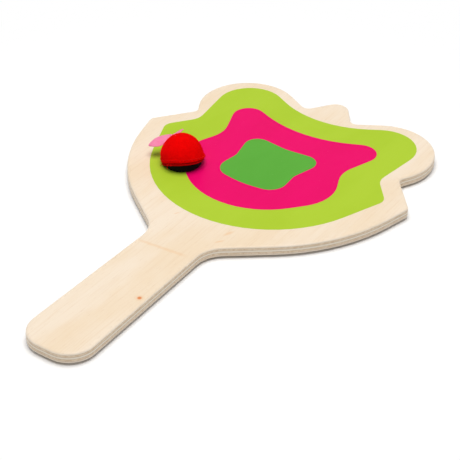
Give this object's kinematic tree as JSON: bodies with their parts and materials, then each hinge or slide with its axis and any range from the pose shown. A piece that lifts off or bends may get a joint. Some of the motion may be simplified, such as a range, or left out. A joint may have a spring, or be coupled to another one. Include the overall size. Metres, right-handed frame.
{
  "type": "hook and loop catch paddle",
  "caption": "Tulip-shaped plywood catch paddle with a straight handle, nested printed target zones and a stuffed felt bug that lifts off on a hook pad and flaps its felt wings.",
  "frame": {"origin": "middle of the board's length and width, on its underside", "axes": "+Y along the handle towards the tongue of the head, +Z out of the printed face"},
  "size_m": [0.2362, 0.3799, 0.0325],
  "materials": {
    "lacquered_birch": "satin lacquered pale birch, grain along the handle",
    "cross_ply": "bare sanded end grain of the crossed plies",
    "lime_ink": "lime ink under satin lacquer",
    "magenta_ink": "magenta ink under satin lacquer",
    "green_ink": "green ink under satin lacquer",
    "red_felt": "fuzzy red felt",
    "pink_felt": "pink felt",
    "fibre_filling": "loose white fibre",
    "black_hook_tape": "black hook tape",
    "red_thread": "red sewing thread"
  },
  "bodies": {
    "paddle": {"back_veneer": "lacquered_birch", "lower_cross_ply": "cross_ply", "core_ply": "lacquered_birch", "upper_cross_ply": "cross_ply", "face_veneer": "lacquered_birch", "lime_print": "lime_ink", "magenta_print": "magenta_ink", "green_print": "green_ink"},
    "catch_bug": {"dome_panel": "red_felt", "base_panel": "red_felt", "filling": "fibre_filling", "seam_thread": "red_thread", "hook_pad": "black_hook_tape", "wing_knot": "pink_felt", "wing_thread": "red_thread"},
    "left_wing": {"left_wing": "pink_felt"},
    "right_wing": {"right_wing": "pink_felt"}
  },
  "joints": [
    {"name": "bug_lift", "type": "slide", "parent": "paddle", "child": "catch_bug", "axis": [0, 0, 1], "range_m": [0, 0.06]},
    {"name": "left_wing_flap", "type": "hinge", "parent": "catch_bug", "child": "left_wing", "pos_m": [-0.07297, 0.0484, 0.02274], "axis": [-0.7431, 0.6691, 0], "range_deg": [-8, 40], "stiffness_Nm_per_rad": 0.0004},
    {"name": "right_wing_flap", "type": "hinge", "parent": "catch_bug", "child": "right_wing", "pos_m": [-0.07034, 0.05335, 0.02274], "axis": [0.8746, 0.4848, 0], "range_deg": [-8, 40], "stiffness_Nm_per_rad": 0.0004}
  ]
}
